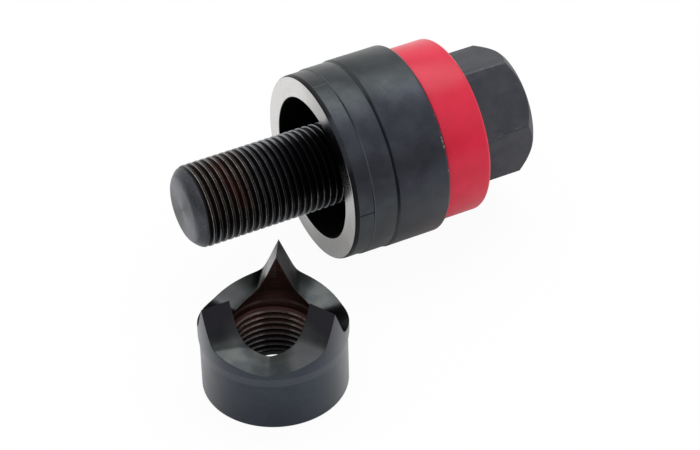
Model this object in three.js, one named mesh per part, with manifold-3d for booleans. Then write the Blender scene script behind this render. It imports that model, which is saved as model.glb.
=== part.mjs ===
// Screw-drawn sheet-metal punch: a hardened punch with a three-pointed crown, its die, and a
// hexagon-headed draw stud that turns on a thrust ball bearing inside a coloured cover.
// Millimetres. X runs along the draw stud from its threaded end to its head, and Z is up.
// The die and the stud lie on their side on the bench, and the punch stands beside them,
// teeth up. The origin is on the bench, below the middle of the whole set.
import * as THREE from 'three';
import { mergeVertices } from 'three/addons/utils/BufferGeometryUtils.js';
import Module from 'manifold-3d';

const wasm = await Module();
wasm.setup();

// Clearances shared by pieces that meet
const seatGap = 0.3;
const runningGap = 0.475;
const overrun = 2;

// Draw stud, measured from the die's cutting face
const studDiameter = 19.05;
const studReach = 31.9;
const studEndDiameter = 14.5;
const studEndChamfer = 2.2;
const studThreadEnd = 8;
const studThreadDepth = 0.92;
const threadPitch = 1.5875;
const headAcrossFlats = 27;
const headLength = 14.8;
const headChamfer = 2.5;
const headTurnDegrees = 13.2;

// Die
const punchClearance = 0.4;
const dieWall = 5.45;
const dieRimDepth = 0.5;
const dieShoulderDepth = 0.25;
const dieLength = 23.7;
const dieFloor = 8;
const dieRimLength = 4.7;
const dieShoulderLength = 10.4;
const dieGrooveWidth = 0.5;
const dieGrooveDepth = 0.5;
const dieFrontEdge = 0.5;
const dieBackEdge = 0.8;
const dieBoreEdge = 0.2;

// Thrust ball bearing
const ballDiameter = 5;
const ballSpacing = 1.15;
const ballSink = 0.8;
const racewayClearance = 0.25;
const washerThickness = 3;
const washerRim = 1.25;
const washerEdge = 0.4;
const cageWall = 0.6;
const cageGap = 0.5;

// Bearing cover and the stud's collar inside its lip
const coverGap = 0.35;
const coverWall = 2.6;
const coverLip = 1.3;
const coverLipHold = 2.4;
const coverFrontEdge = 0.6;
const coverBackEdge = 1.1;

// Punch
const punchDiameter = 32.5;
const toothCount = 3;
const toothHeight = 25.6;
const toothFlankDegrees = 67;
const valleyHeight = 14.85;
const valleyRise = 3.5;
const outerFillet = 0.9;
const innerFillet = 1.35;
const landBottom = 14;
const reliefLength = 2.35;
const reliefDepth = 0.33;
const punchBaseEdge = 0.5;
const threadDepth = 0.775;
const threadTop = 11.6;
const counterboreDiameter = 19.55;

// Where the punch stands: its axis from the middle of the die's cutting face, on the bench
const punchAlong = -28;
const punchAside = -37.2;
const punchTurnDegrees = 28.7;

// Facet counts
const roundSegments = 72;
const crownSegments = 120;
const ringSegments = 40;
const threadSegments = 20;
const ballSegments = 12;
const ballRings = 8;
const arcSteps = 3;

// Sizes that follow
const facetTurn = Math.PI / roundSegments;
const studRadius = studDiameter / 2;
const guideRadius = studRadius + runningGap;
const dieBoreRadius = punchDiameter / 2 + punchClearance;
const dieRadius = dieBoreRadius + dieWall;
const dieBackPlane = dieLength;
const dieRestHeight = dieRadius * Math.cos(facetTurn);
const ballRadius = ballDiameter / 2;
const racewayRadius = ballRadius + racewayClearance;
const washerSpacing = ballDiameter - 2 * ballSink;
const washerBore = guideRadius;
const ballPitch = washerBore + washerRim + ballRadius;
const washerRadius = ballPitch + ballRadius + washerRim;
const housingWasherPlane = dieBackPlane + coverGap;
const ballPlane = housingWasherPlane + washerThickness + washerSpacing / 2;
const shaftWasherPlane = ballPlane + washerSpacing / 2;
const lipPlane = shaftWasherPlane + washerThickness + seatGap;
const coverBackPlane = lipPlane + coverLip;
const coverBore = washerRadius + seatGap;
const coverRadius = coverBore + coverWall;
const lipRadius = washerRadius - coverLipHold;
const collarRadius = lipRadius - runningGap;
const headPlane = coverBackPlane + seatGap;
const headCornerRadius = headAcrossFlats / Math.sqrt(3);
const threadBore = studRadius - threadDepth;

// Looks
const blackened = { color: 0x3a3d41, roughness: 0.45, metalness: 0.85 };
const crimson = { color: 0xc4213a, roughness: 0.4, metalness: 0.15 };
const bearingSteel = { color: 0xb9bcc0, roughness: 0.2, metalness: 1 };
const brass = { color: 0xb08d4a, roughness: 0.35, metalness: 0.9 };

// A point of a profile: its distance from the axis and its place along it
function at(radius, along) {
  return new THREE.Vector2(radius, along);
}

// A quarter round of a profile, from one angle to the next, in degrees
function quarterRound(centre, radius, from) {
  const points = [];
  for (let step = 0; step <= arcSteps; step++) {
    const angle = THREE.MathUtils.degToRad(from + (90 * step) / arcSteps);
    points.push(at(centre.x + radius * Math.cos(angle), centre.y + radius * Math.sin(angle)));
  }
  return points;
}

// Keeps the positions alone and joins the vertices that coincide
function closed(geometry) {
  const bare = geometry.clone();
  bare.deleteAttribute('normal');
  bare.deleteAttribute('uv');
  return mergeVertices(bare, 1e-4);
}

// Turns a profile about the Y axis; a ring's profile closes on itself
function turned(profile, segments) {
  return closed(new THREE.LatheGeometry(profile, segments));
}

// Turns a profile that goes once round the section of a ring
function turnedRing(profile, segments) {
  return turned([...profile, profile[0].clone()], segments);
}

function solid(geometry) {
  const mesh = new wasm.Mesh({
    numProp: 3,
    vertProperties: new Float32Array(geometry.attributes.position.array),
    triVerts: new Uint32Array(geometry.index.array),
  });
  return new wasm.Manifold(mesh);
}

function geometryOf(body) {
  const mesh = body.getMesh();
  const geometry = new THREE.BufferGeometry();
  geometry.setAttribute('position', new THREE.BufferAttribute(mesh.vertProperties, 3));
  geometry.setIndex(new THREE.BufferAttribute(mesh.triVerts, 1));
  return geometry;
}

function piece(name, geometry, look) {
  const shaded = geometry.toNonIndexed();
  shaded.computeVertexNormals();
  const mesh = new THREE.Mesh(shaded, new THREE.MeshStandardMaterial(look));
  mesh.name = name;
  return mesh;
}

// Joins a centre to each edge of a closed loop of vertices
function fan(centre, loop) {
  return loop.flatMap((vertex, place) => [vertex, loop[(place + 1) % loop.length], centre]);
}

// A right-hand thread on a rod, which climbs by one pitch a turn. The crest's helix starts one
// turn lower than it ends, so that each root lies between two crests, and a fan round the axis
// closes each end.
function threadedRod(start, end) {
  const rootRadius = studRadius - studThreadDepth;
  const last = threadSegments * Math.ceil((end - start) / threadPitch);
  const positions = [];
  const addPoint = (radius, turns, rise) => {
    const angle = 2 * Math.PI * turns;
    const along = start + threadPitch * (turns + rise);
    positions.push(radius * Math.sin(angle), along, radius * Math.cos(angle));
  };
  for (let step = 0; step <= last + threadSegments; step++) {
    addPoint(studRadius, step / threadSegments, 0);
  }
  for (let step = 0; step <= last; step++) {
    addPoint(rootRadius, step / threadSegments, 1 / 2);
  }
  addPoint(0, 0, 1 / 2);
  addPoint(0, last / threadSegments, 1 / 2);

  const crest = (step) => step;
  const root = (step) => last + threadSegments + 1 + step;
  const startCentre = root(last) + 1;
  const endCentre = startCentre + 1;
  const triangles = [];
  for (let step = 0; step < last; step++) {
    const nextTurn = step + threadSegments;
    triangles.push(crest(step), crest(step + 1), root(step));
    triangles.push(crest(step + 1), root(step + 1), root(step));
    triangles.push(root(step), root(step + 1), crest(nextTurn));
    triangles.push(root(step + 1), crest(nextTurn + 1), crest(nextTurn));
  }
  const turnOfCrest = Array.from({ length: threadSegments + 1 }, (_, step) => step);
  const startLoop = [...turnOfCrest.map(crest), root(0)].reverse();
  const endLoop = [...turnOfCrest.map((step) => crest(last + step)), root(last)];
  triangles.push(...fan(startCentre, startLoop), ...fan(endCentre, endLoop));

  const rod = new THREE.BufferGeometry();
  rod.setAttribute('position', new THREE.Float32BufferAttribute(positions, 3));
  rod.setIndex(triangles);
  return solid(rod);
}

// The stud's threaded part, trimmed to a chamfered end
function studThread() {
  const endRadius = studEndDiameter / 2;
  const trimRadius = studRadius + overrun;
  const chamferSlope = studEndChamfer / (studRadius - endRadius);
  const trim = turned(
    [
      at(0, -studReach),
      at(endRadius, -studReach),
      at(trimRadius, -studReach + chamferSlope * (trimRadius - endRadius)),
      at(trimRadius, studThreadEnd),
      at(0, studThreadEnd),
    ],
    2 * threadSegments,
  );
  const firstTurn = -studReach - 2 * threadPitch;
  return threadedRod(firstTurn, studThreadEnd + threadPitch).intersect(solid(trim));
}

// The stud's plain part, which starts inside the thread's last turn: the shank and the collar
// that presses on the bearing
function studShank() {
  const shankStart = studThreadEnd - threadPitch / 2;
  return turned(
    [
      at(0, shankStart),
      at(studRadius, shankStart),
      at(studRadius, lipPlane),
      at(collarRadius, lipPlane),
      at(collarRadius, headPlane),
      at(studRadius, headPlane),
      at(studRadius, headPlane + headLength / 2),
      at(0, headPlane + headLength / 2),
    ],
    roundSegments,
  );
}

// A hexagonal prism whose end is turned off at 45 degrees from the corners
function studHead() {
  const prism = new THREE.CylinderGeometry(headCornerRadius, headCornerRadius, headLength, 6);
  prism.rotateY(THREE.MathUtils.degToRad(headTurnDegrees));
  prism.translate(0, headPlane + headLength / 2, 0);
  const headEnd = headPlane + headLength;
  const blank = turned(
    [
      at(0, headPlane - overrun),
      at(headCornerRadius + overrun, headPlane - overrun),
      at(headCornerRadius + overrun, headEnd - headChamfer - overrun),
      at(headCornerRadius - headChamfer, headEnd),
      at(0, headEnd),
    ],
    roundSegments,
  );
  return solid(closed(prism)).intersect(solid(blank));
}

function drawStud() {
  return geometryOf(studThread().add(solid(studShank())).add(studHead()));
}

// The die: a cup whose floor guides the stud, with a slim rim, a shoulder and a groove outside.
// It is turned by half a facet, so that it lies on a facet and not on the edge between two.
function die() {
  const rimRadius = dieRadius - dieRimDepth;
  const shoulderRadius = dieRadius - dieShoulderDepth;
  const grooveRadius = dieRadius - dieGrooveDepth;
  const grooveEnd = dieShoulderLength + dieGrooveWidth;
  return turnedRing(
    [
      at(dieBoreRadius + dieBoreEdge, 0),
      ...quarterRound(at(rimRadius - dieFrontEdge, dieFrontEdge), dieFrontEdge, -90),
      at(rimRadius, dieRimLength),
      at(shoulderRadius, dieRimLength),
      at(shoulderRadius, dieShoulderLength),
      at(grooveRadius, dieShoulderLength),
      at(grooveRadius, grooveEnd),
      at(dieRadius, grooveEnd),
      ...quarterRound(at(dieRadius - dieBackEdge, dieBackPlane - dieBackEdge), dieBackEdge, 0),
      at(guideRadius, dieBackPlane),
      at(guideRadius, dieBackPlane - dieFloor),
      at(dieBoreRadius, dieBackPlane - dieFloor),
      at(dieBoreRadius, dieBoreEdge),
    ],
    roundSegments,
  ).rotateY(facetTurn);
}

// A bearing washer, its raceway ground into the face that looks along the axis
function washer() {
  const halfWidth = Math.sqrt(racewayRadius ** 2 - (washerSpacing / 2) ** 2);
  const spread = Math.asin(halfWidth / racewayRadius);
  const raceway = [];
  for (let step = 0; step <= 2 * arcSteps; step++) {
    const angle = spread - (spread * step) / arcSteps;
    const depth = racewayRadius * Math.cos(angle) - washerSpacing / 2;
    raceway.push(at(ballPitch + racewayRadius * Math.sin(angle), washerThickness - depth));
  }
  return turnedRing(
    [
      at(washerBore + washerEdge, 0),
      at(washerRadius - washerEdge, 0),
      at(washerRadius, washerEdge),
      at(washerRadius, washerThickness),
      ...raceway,
      at(washerBore, washerThickness),
      at(washerBore, washerEdge),
    ],
    ringSegments,
  );
}

function housingWasher() {
  return washer().translate(0, housingWasherPlane, 0);
}

function shaftWasher() {
  return washer().rotateX(Math.PI).translate(0, shaftWasherPlane + washerThickness, 0);
}

// The cage: a flat ring bored through once for each ball
function ballCage(ballAngles) {
  const pocketRadius = racewayRadius;
  const halfThickness = washerSpacing / 2 - cageGap;
  const inner = ballPitch - pocketRadius - cageWall;
  const outer = ballPitch + pocketRadius + cageWall;
  let ring = solid(
    turnedRing(
      [
        at(inner, -halfThickness),
        at(outer, -halfThickness),
        at(outer, halfThickness),
        at(inner, halfThickness),
      ],
      ringSegments,
    ),
  );
  for (const angle of ballAngles) {
    const pocket = new THREE.CylinderGeometry(
      pocketRadius, pocketRadius, washerSpacing, ballSegments,
    );
    pocket.translate(0, 0, ballPitch);
    pocket.rotateY(angle);
    ring = ring.subtract(solid(closed(pocket)));
  }
  return geometryOf(ring).translate(0, ballPlane, 0);
}

function bearingBall() {
  return closed(new THREE.SphereGeometry(ballRadius, ballSegments, ballRings));
}

// The cover: a sleeve round the bearing with an inward lip at the head
function bearingCover() {
  return turnedRing(
    [
      at(coverBore, housingWasherPlane),
      ...quarterRound(
        at(coverRadius - coverFrontEdge, housingWasherPlane + coverFrontEdge), coverFrontEdge, -90,
      ),
      ...quarterRound(
        at(coverRadius - coverBackEdge, coverBackPlane - coverBackEdge), coverBackEdge, 0,
      ),
      at(lipRadius, coverBackPlane),
      at(lipRadius, lipPlane),
      at(coverBore, lipPlane),
    ],
    roundSegments,
  );
}

// Height of the punch's crown. Straight flanks fall from each tooth's radial ridge and run
// through a fillet, wider at the bore, into a valley that dips to the middle between two teeth.
function crownHeight(radius, angle) {
  const toothStep = (2 * Math.PI) / toothCount;
  const away = Math.abs(angle - toothStep * Math.round(angle / toothStep));
  const slope = Math.tan(THREE.MathUtils.degToRad(toothFlankDegrees));
  const flank = toothHeight - slope * radius * Math.sin(away);
  const valley = valleyHeight + valleyRise * (1 - away / (toothStep / 2));
  const fillet = THREE.MathUtils.mapLinear(
    radius, counterboreDiameter / 2, punchDiameter / 2, innerFillet, outerFillet,
  );
  return (flank + valley) / 2 + Math.hypot((flank - valley) / 2, fillet);
}

// The punch: a turned blank whose top is then ground to the crown
function punch() {
  const landRadius = punchDiameter / 2;
  const bodyRadius = landRadius - reliefDepth;
  const counterbore = counterboreDiameter / 2;
  const crownRadii = [landRadius, (landRadius + counterbore) / 2, counterbore];
  const blank = turnedRing(
    [
      at(threadBore, 0),
      at(bodyRadius - punchBaseEdge, 0),
      at(bodyRadius, punchBaseEdge),
      at(bodyRadius, landBottom - reliefLength),
      at(landRadius, landBottom),
      ...crownRadii.map((radius) => at(radius, toothHeight)),
      at(counterbore, threadTop + (counterbore - threadBore)),
      at(threadBore, threadTop),
    ],
    crownSegments,
  );
  const positions = blank.attributes.position;
  for (let index = 0; index < positions.count; index++) {
    const x = positions.getX(index);
    const z = positions.getZ(index);
    if (positions.getY(index) > toothHeight - seatGap) {
      positions.setY(index, crownHeight(Math.hypot(x, z), Math.atan2(x, z)));
    }
  }
  return blank;
}

// The lying set is modelled along Y and laid over so that Y becomes X; the punch stands on Z
const lying = new THREE.Group();
lying.rotation.z = -Math.PI / 2;
lying.position.z = dieRestHeight;

const standing = new THREE.Group();
standing.rotation.x = Math.PI / 2;
standing.position.set(punchAlong, punchAside, 0);

lying.add(piece('die', die(), blackened));
lying.add(piece('draw_stud', drawStud(), blackened));
lying.add(piece('bearing_cover', bearingCover(), crimson));
lying.add(piece('housing_washer', housingWasher(), bearingSteel));
lying.add(piece('shaft_washer', shaftWasher(), bearingSteel));

const ballCount = Math.floor((2 * Math.PI * ballPitch) / (ballDiameter + ballSpacing));
const ballAngles = Array.from({ length: ballCount }, (_, ball) => (2 * Math.PI * ball) / ballCount);
lying.add(piece('ball_cage', ballCage(ballAngles), brass));
ballAngles.forEach((angle, ball) => {
  const mesh = piece(`bearing_ball_${String(ball + 1).padStart(2, '0')}`, bearingBall(), bearingSteel);
  mesh.position.set(ballPitch * Math.sin(angle), ballPlane, ballPitch * Math.cos(angle));
  lying.add(mesh);
});

const standingPunch = piece('punch', punch(), blackened);
standingPunch.rotation.y = THREE.MathUtils.degToRad(punchTurnDegrees);
standing.add(standingPunch);

// The whole set, moved so that the origin lies on the bench below its middle
const punchRadius = punchDiameter / 2;
const lowX = Math.min(-studReach, punchAlong - punchRadius);
const highX = Math.max(headPlane + headLength, punchAlong + punchRadius);
const lowY = Math.min(-dieRestHeight, punchAside - punchRadius);
const highY = Math.max(dieRestHeight, punchAside + punchRadius);

const knockoutPunch = new THREE.Group();
knockoutPunch.name = 'knockout_punch';
knockoutPunch.add(lying, standing);
knockoutPunch.position.set(-(lowX + highX) / 2, -(lowY + highY) / 2, 0);

export default knockoutPunch;
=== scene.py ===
"""The looks of a screw-drawn knockout punch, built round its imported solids.

The die and its draw stud lie on their side with a red bearing cover between the die and the
hexagon head, and the three-pointed punch stands in front of them. Sizes in the classes are in
millimetres and angles in degrees, as on a drawing. They become metres and radians where a
piece is made.
"""

from __future__ import annotations

import logging
import math
from contextlib import contextmanager
from dataclasses import dataclass
from enum import Enum
from itertools import pairwise
from typing import Any, Callable, Iterator, NamedTuple, Sequence

import bmesh
import bpy
from mathutils import Matrix, Vector

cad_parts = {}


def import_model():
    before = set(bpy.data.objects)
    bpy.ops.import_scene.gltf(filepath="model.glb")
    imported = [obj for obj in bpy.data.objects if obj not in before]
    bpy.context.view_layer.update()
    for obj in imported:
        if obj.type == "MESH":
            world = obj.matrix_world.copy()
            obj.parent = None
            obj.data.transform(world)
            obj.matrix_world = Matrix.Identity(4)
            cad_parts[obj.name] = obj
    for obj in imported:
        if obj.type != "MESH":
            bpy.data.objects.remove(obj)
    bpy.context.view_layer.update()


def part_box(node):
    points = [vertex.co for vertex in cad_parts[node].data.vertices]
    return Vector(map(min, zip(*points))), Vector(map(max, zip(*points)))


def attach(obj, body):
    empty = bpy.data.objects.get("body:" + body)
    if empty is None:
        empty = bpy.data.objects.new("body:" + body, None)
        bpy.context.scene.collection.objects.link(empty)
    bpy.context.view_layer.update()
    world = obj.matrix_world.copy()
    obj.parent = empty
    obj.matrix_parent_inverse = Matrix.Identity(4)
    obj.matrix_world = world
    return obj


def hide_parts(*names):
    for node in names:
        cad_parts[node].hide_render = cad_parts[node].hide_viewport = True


LOG = logging.getLogger("knockout_punch")
MM = 0.001
FULL_TURN = 2 * math.pi
# Vertices closer than this are one vertex.
WELD = 0.002 * MM
# The turn that lays an upright cylinder along X.
LAID_ALONG_X = (0, math.pi / 2, 0)
# Direction of the punch's far tooth round its line, from +X to +Y.
FAR_TOOTH = 58.7
BLACK = (0.0, 0.0, 0.0)

Piece = bpy.types.Object
Material = bpy.types.Material
Point = tuple[float, float]
Profile = list[Point]
Place = tuple[float, float, float]
Colour = tuple[float, float, float]
# A patch of painted light or shade: two angles, two radii and the share it covers.
PaintedPatch = tuple[float, float, float, float, float]


class Body(Enum):
    """The bodies that pieces ride on."""

    DIE = "die_body"
    BEARING = "bearing_body"
    STUD = "stud_body"
    CAGE = "cage_body"
    PUNCH = "punch_body"


class Slot(Enum):
    """The record's material slots."""

    BLACK_OXIDE = "black_oxide_steel"
    RED_COVER = "red_cover"
    BEARING_STEEL = "bearing_steel"
    CAGE_BRASS = "cage_brass"


class Join(Enum):
    """What a boolean does with its tool."""

    ADD = "UNION"
    CUT = "DIFFERENCE"
    KEEP_COMMON = "INTERSECT"


# Modelling


def select_only(piece: Piece) -> None:
    """Selects one piece and makes it the active one."""
    bpy.ops.object.select_all(action="DESELECT")
    piece.select_set(True)
    bpy.context.view_layer.objects.active = piece


@contextmanager
def editing(piece: Piece) -> Iterator[None]:
    """Opens a piece in edit mode with all of it selected, and closes it again."""
    select_only(piece)
    bpy.ops.object.mode_set(mode="EDIT")
    bpy.ops.mesh.select_all(action="SELECT")
    try:
        yield
    finally:
        bpy.ops.mesh.select_mode(type="VERT")
        bpy.ops.object.mode_set(mode="OBJECT")


def added(name: str, operator: Callable[..., Any], **settings: Any) -> Piece:
    """Adds an object with one of Blender's operators.

    Args:
        name: Name of the object and of its data.
        operator: The operator that adds it.
        **settings: The operator's settings.

    Returns:
        The object.
    """
    bpy.ops.object.select_all(action="DESELECT")
    operator(**settings)
    piece = bpy.context.object
    piece.name = name
    piece.data.name = name
    return piece


def trace(name: str, points: Sequence[Vector]) -> Piece:
    """Draws a line by extruding one vertex from point to point.

    Args:
        name: Name of the new piece.
        points: The line's points, in metres.

    Returns:
        The new piece, of vertices and edges alone.
    """
    seed = bpy.ops.mesh.primitive_plane_add
    piece = added(name, seed, size=MM, enter_editmode=True, location=(0, 0, 0))
    bpy.ops.mesh.merge(type="CENTER")
    bpy.ops.transform.translate(value=points[0])
    for start, end in pairwise(points):
        bpy.ops.mesh.extrude_vertices_move(TRANSFORM_OT_translate={"value": end - start})
    bpy.ops.object.mode_set(mode="OBJECT")
    return piece


def close_up(piece: Piece) -> None:
    """Merges the vertices that coincide and turns every face outwards."""
    with editing(piece):
        bpy.ops.mesh.remove_doubles(threshold=WELD)
        bpy.ops.mesh.normals_make_consistent(inside=False)


def settle(piece: Piece) -> None:
    """Moves a piece's place, turn and scale into its mesh."""
    select_only(piece)
    bpy.ops.object.transform_apply(location=True, rotation=True, scale=True)


def modify(piece: Piece, kind: str, **settings: Any) -> None:
    """Adds a modifier with these settings and applies it.

    Args:
        piece: The piece to change.
        kind: Blender's name for the modifier's type.
        **settings: The modifier's settings, by name.
    """
    select_only(piece)
    bpy.ops.object.modifier_add(type=kind)
    modifier = piece.modifiers[-1]
    for setting, value in settings.items():
        setattr(modifier, setting, value)
    bpy.ops.object.modifier_apply(modifier=modifier.name)


def join(piece: Piece, tool: Piece, how: Join) -> None:
    """Joins a tool's solid to a piece, cuts it out or keeps what they share, and drops the tool."""
    modify(piece, "BOOLEAN", operation=how.value, solver="MANIFOLD", object=tool)
    bpy.data.objects.remove(tool)


def dress(piece: Piece, material: Material, sharp_above: float = 28) -> Piece:
    """Shades a piece smooth and gives it one material all over.

    Args:
        piece: The finished piece.
        material: Its material.
        sharp_above: Angle between two faces past which their edge stays sharp.

    Returns:
        The piece.
    """
    select_only(piece)
    bpy.ops.object.shade_smooth_by_angle(angle=math.radians(sharp_above))
    piece.data.materials.clear()
    piece.data.materials.append(material)
    return piece


def select_along(piece: Piece, direction: Vector) -> None:
    """Selects the edges of a piece in edit mode that run along a direction."""
    bpy.ops.mesh.select_mode(type="EDGE")
    bpy.ops.mesh.select_all(action="DESELECT")
    mesh = bmesh.from_edit_mesh(piece.data)
    for edge in mesh.edges:
        run = (edge.verts[0].co - edge.verts[1].co).normalized()
        edge.select_set(abs(run.dot(direction)) > 0.9)
    bmesh.update_edit_mesh(piece.data)


def arc(centre: Point, radii: Point, start: float, turn: float, steps: int) -> Profile:
    """Points of an arc on a profile.

    Args:
        centre: Radius and place of the arc's centre.
        radii: The arc's size outwards and along the line.
        start: Angle at which the arc starts, from the outward direction to the line's own.
        turn: Angle that it goes through.
        steps: Number of edges.

    Returns:
        The points, as radius and place.
    """
    angles = [math.radians(start + turn * step / steps) for step in range(steps + 1)]
    return [
        (centre[0] + radii[0] * math.cos(angle), centre[1] + radii[1] * math.sin(angle))
        for angle in angles
    ]


def quarter_round(centre: Point, radius: float, start: float, steps: int) -> Profile:
    """Points of a quarter circle on a profile."""
    return arc(centre, (radius, radius), start, 90, steps)


@dataclass(frozen=True)
class Lathe:
    """A line that pieces are turned about.

    Attributes:
        zero: The line's zero mark, in metres.
        along: Direction of the line, which is +X or +Z.
        out: Direction in which profiles are drawn.
    """

    zero: Vector
    along: Vector
    out: Vector

    @property
    def lies(self) -> bool:
        """Whether the line is X rather than Z."""
        return self.along.x > self.along.z

    def at(self, radius: float, place: float) -> Vector:
        """A profile's point in the frame, in metres."""
        return self.zero + self.offset(radius, place)

    def offset(self, radius: float, place: float) -> Vector:
        """A profile's point, counted from the zero mark, in metres."""
        return (self.along * place + self.out * radius) * MM

    def turn(self, name: str, profile: Profile, steps: int) -> Piece:
        """Turns a profile into a solid.

        Args:
            name: Name of the new piece.
            profile: Points as radius and place. The last one is the first one again, or both
                lie on the line.
            steps: Number of steps round the line.

        Returns:
            The solid.
        """
        piece = trace(name, [self.at(radius, place) for radius, place in profile])
        with editing(piece):
            bpy.ops.mesh.spin(steps=steps, angle=FULL_TURN, center=self.zero, axis=self.along)
        close_up(piece)
        return piece

    def ring(self, name: str, section: Profile, steps: int) -> Piece:
        """Turns a section that doesn't touch the line into a ring."""
        return self.turn(name, [*section, section[0]], steps)


@dataclass(frozen=True)
class Thread:
    """A right-hand screw thread with 60 degree flanks.

    Attributes:
        pitch: Distance from turn to turn.
        crest_radius: Radius at the crest.
        root_radius: Radius at the root.
        crest_flat: Width of the crest's flat.
        crest_round: Size of the rounding at the crest's edges.
        seam_width: Width of the seam that thread rolling leaves along the crest.
        seam_depth: Depth of that seam.
        spare_turns: Turns that are cut off before a rod's start.
        steps: Number of steps in one turn.
    """

    pitch: float
    crest_radius: float
    root_radius: float
    crest_flat: float
    crest_round: float
    seam_width: float = 0.0
    seam_depth: float = 0.0
    spare_turns: float = 1.37
    steps: int = 96

    def past_crest(self, where: TurnedPlace, start: float) -> Signal:
        """Distance along the line past the middle of the nearest crest.

        Args:
            where: The place on a rod that lies along X and was drawn in the direction Z.
            start: Place of the rod's start.

        Returns:
            The distance in millimetres, less than 0 before the crest.
        """
        turned = where.angle * (1 / FULL_TURN) - 0.25
        turns = (where.along - start) * (1 / self.pitch) + self.spare_turns - turned
        return self.pitch * ((turns + 0.5).through("FRACT") - 0.5)

    def form(self) -> Profile:
        """One pitch of the thread, from the middle of a crest to the middle of the next."""
        depth = self.crest_radius - self.root_radius
        flat = self.crest_flat / 2
        soft = self.crest_round
        low = flat + (depth - soft * 2) / math.tan(math.radians(60))
        to_root = self.pitch / 2 - low
        seam = [(0, self.seam_depth), (self.seam_width / 2, 0)] if self.seam_width else [(0, 0)]
        half = [
            *seam,
            (flat - soft, 0),
            (flat + soft * 0.1, soft * 0.3),
            (flat + soft * 0.75, soft * 1.3),
            (low, depth - soft * 2),
            (low + to_root * 0.35, depth - soft * 0.75),
            (low + to_root * 0.7, depth - soft * 0.15),
        ]
        other = [(self.pitch - place, fall) for place, fall in reversed(half)]
        points = [*half, (self.pitch / 2, depth), *other]
        return [(self.crest_radius - fall, place) for place, fall in points]

    def rod(self, name: str, lathe: Lathe, start: float, end: float) -> Piece:
        """Makes a threaded rod that is cut square at both ends.

        Args:
            name: Name of the new piece.
            lathe: The line that the rod lies along.
            start: Place of the rod's start.
            end: Place of the rod's end.

        Returns:
            The rod.
        """
        rod = trace(name, [lathe.offset(radius, place) for radius, place in self.form()])
        modify(
            rod,
            "SCREW",
            axis="X" if lathe.lies else "Z",
            angle=FULL_TURN,
            steps=self.steps,
            render_steps=self.steps,
            iterations=math.ceil((end - start) / self.pitch) + 3,
            screw_offset=self.pitch * MM,
            use_smooth_shade=False,
        )
        bpy.ops.transform.translate(value=lathe.at(0, start - self.spare_turns * self.pitch))
        settle(rod)
        with editing(rod):
            bpy.ops.mesh.remove_doubles(threshold=WELD)
            for place, outward in ((start, -lathe.along), (end, lathe.along)):
                bpy.ops.mesh.select_all(action="SELECT")
                bpy.ops.mesh.bisect(plane_co=lathe.at(0, place), plane_no=outward, clear_outer=True)
            bpy.ops.mesh.select_all(action="SELECT")
            bpy.ops.mesh.fill_holes(sides=0)
        close_up(rod)
        return rod


# Materials


@dataclass(frozen=True)
class Signal:
    """A number that varies over a surface. Its operators add Math nodes."""

    graph: Graph
    socket: bpy.types.NodeSocket

    def through(self, operation: str, *others: Signal | float) -> Signal:
        """This signal through a Math node that takes it first."""
        inputs = dict(enumerate([self, *others]))
        return self.graph.signal("ShaderNodeMath", {"operation": operation}, inputs)

    def __add__(self, other: Signal | float) -> Signal:
        """Sum."""
        return self.through("ADD", other)

    def __sub__(self, other: Signal | float) -> Signal:
        """Difference."""
        return self.through("SUBTRACT", other)

    def __rsub__(self, other: float) -> Signal:
        """Difference from a number."""
        return self.graph.signal("ShaderNodeMath", {"operation": "SUBTRACT"}, {0: other, 1: self})

    def __mul__(self, other: Signal | float) -> Signal:
        """Product."""
        return self.through("MULTIPLY", other)

    __radd__ = __add__
    __rmul__ = __mul__

    def most(self, other: Signal | float) -> Signal:
        """The larger of two signals."""
        return self.through("MAXIMUM", other)

    def length_with(self, other: Signal) -> Signal:
        """Length of the vector that this signal and another one make."""
        return (self * self + other * other).through("SQRT")

    def rises(self, low: float, high: float) -> Signal:
        """A smooth step from 0 at low to 1 at high."""
        inputs = {"Value": self, "From Min": low, "From Max": high}
        return self.graph.signal("ShaderNodeMapRange", {"interpolation_type": "SMOOTHSTEP"}, inputs)

    def falls(self, low: float, high: float) -> Signal:
        """A smooth step from 1 at low to 0 at high."""
        return 1 - self.rises(low, high)

    def within(self, low: float, high: float, soft: float) -> Signal:
        """1 between two values, falling to 0 past them over a soft distance."""
        return self.rises(low - soft, low) * self.falls(high, high + soft)


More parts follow.
